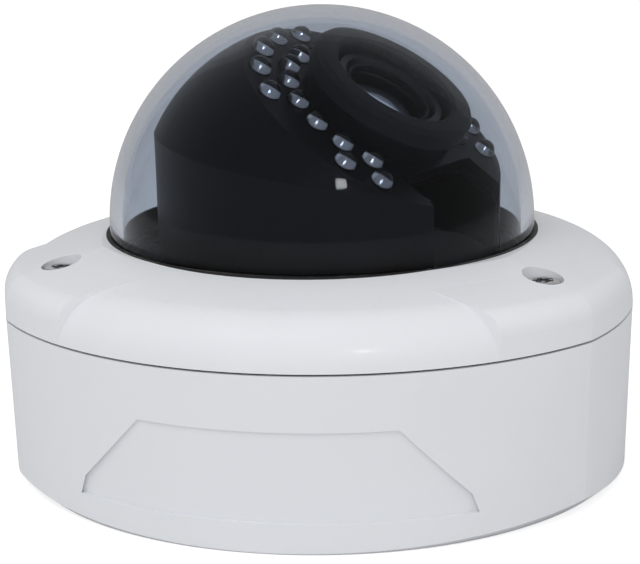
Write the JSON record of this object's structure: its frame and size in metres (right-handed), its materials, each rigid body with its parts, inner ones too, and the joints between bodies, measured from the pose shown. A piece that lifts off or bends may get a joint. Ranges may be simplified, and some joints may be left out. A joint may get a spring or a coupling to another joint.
{
  "type": "dome cctv camera",
  "caption": "Low rounded three-cornered housing with a clear dome over a pan and tilt lens head ringed by infrared lamps.",
  "frame": {"origin": "centre of the mounting face, on the pan axis", "axes": "+Z out of the mounting face through the dome, -Y towards the face with the shallow relief panel, +X to the right of it"},
  "size_m": [0.1466, 0.1481, 0.1073],
  "materials": {
    "housing": "fine satin paint on a die casting",
    "seal": "moulded black rubber",
    "plug": "moulded plug matching the paint",
    "dome": "clear moulded polycarbonate",
    "clamp": "stamped plated ring",
    "fixings": "stainless screws and washers",
    "boards": "green solder mask",
    "lamp_circuit": "black solder mask",
    "posts": "turned spacers",
    "terminal": "moulded terminal block",
    "jack": "moulded connector shells",
    "pan_plastic": "moulded acetal",
    "stage_metal": "pressed plated steel",
    "knob": "turned and knurled",
    "shroud": "black moulding with a fine grain",
    "lamps": "clear resin lamps with a metal cup inside",
    "hood_rubber": "soft grey rubber",
    "lens_black": "satin black lens body",
    "optic": "coated lens glass",
    "filter": "coated filter glass",
    "chip": "moulded chip package",
    "lock_metal": "knurled bright screws"
  },
  "bodies": {
    "base": {"base_housing": "housing", "cover_seal": "seal", "cable_grommet": "seal", "conduit_plug": "plug", "conduit_plug_seal": "seal", "power_board": "boards", "power_board_posts": "posts", "power_board_screws": "fixings", "power_terminal": "terminal", "video_connector": "jack", "pan_base": "pan_plastic", "pan_retainer": "pan_plastic"},
    "cover": {"top_cover": "housing", "dome_bubble": "dome", "dome_gasket": "seal", "dome_clamp_ring": "clamp", "clamp_ring_screws": "fixings", "cover_screws": "fixings", "screw_washers": "fixings"},
    "pan_stage": {"pan_turntable": "stage_metal", "left_arm": "stage_metal", "right_arm": "stage_metal", "arm_screws": "fixings"},
    "pan_lock": {"pan_lock_knob": "knob"},
    "head": {"tilt_bracket": "stage_metal", "tilt_pivot_screws": "fixings", "tilt_friction_washers": "pan_plastic", "head_posts": "posts", "module_shroud": "shroud", "lamp_plate": "shroud", "lamp_board": "lamp_circuit", "infrared_lamps": "lamps", "hood_collar": "shroud", "light_shield_ring": "hood_rubber"},
    "lens": {"lens_mount": "lens_black", "mount_retainer": "lens_black", "lens_barrel": "lens_black", "front_lens": "optic", "iris": "lens_black", "rear_lens": "optic", "sensor_board": "boards", "sensor_board_legs": "posts", "image_sensor": "chip", "infrared_cut_filter": "filter", "processor_board": "boards", "board_spacers": "posts", "board_screws": "fixings", "processor_chip": "chip", "flat_cable_socket": "jack"},
    "zoom": {"zoom_ring": "lens_black"},
    "focus": {"focus_ring": "lens_black"},
    "zoom_lock": {"zoom_lock_screw": "lock_metal"},
    "focus_lock": {"focus_lock_screw": "lock_metal"}
  },
  "joints": [
    {"name": "cover_lift", "type": "slide", "parent": "base", "child": "cover", "axis": [0, 0, 1], "range_m": [0, 0.095]},
    {"name": "pan", "type": "hinge", "parent": "base", "child": "pan_stage", "pos_m": [0, 0, 0.009], "axis": [0, 0, 1], "range_deg": [-177, 177]},
    {"name": "pan_lock_turn", "type": "hinge", "parent": "pan_stage", "child": "pan_lock", "pos_m": [-0.02741, 0.0122, 0.0106], "axis": [0, 0, 1], "range_deg": [-180, 180]},
    {"name": "tilt", "type": "hinge", "parent": "pan_stage", "child": "head", "pos_m": [0, 0, 0.0603], "axis": [0.4067, 0.9135, 0], "range_deg": [-34, 41]},
    {"name": "lens_rotate", "type": "hinge", "parent": "head", "child": "lens", "pos_m": [0, 0, 0.0603], "axis": [0.5108, -0.2274, 0.829], "range_deg": [-175, 175]},
    {"name": "zoom_turn", "type": "hinge", "parent": "lens", "child": "zoom", "pos_m": [-0.00031, 0.00014, 0.0598], "axis": [0.5108, -0.2274, 0.829], "range_deg": [-30, 30]},
    {"name": "focus_turn", "type": "hinge", "parent": "lens", "child": "focus", "pos_m": [0.00613, -0.00273, 0.07025], "axis": [0.5108, -0.2274, 0.829], "range_deg": [-45, 45]},
    {"name": "zoom_lock_turn", "type": "hinge", "parent": "zoom", "child": "zoom_lock", "pos_m": [0.0105, -0.00771, 0.05099], "axis": [0.6752, -0.4907, -0.5507], "range_deg": [-180, 180]},
    {"name": "focus_lock_turn", "type": "hinge", "parent": "focus", "child": "focus_lock", "pos_m": [0.01988, -0.00009, 0.0625], "axis": [0.8593, 0.1647, -0.4843], "range_deg": [-180, 180]}
  ]
}
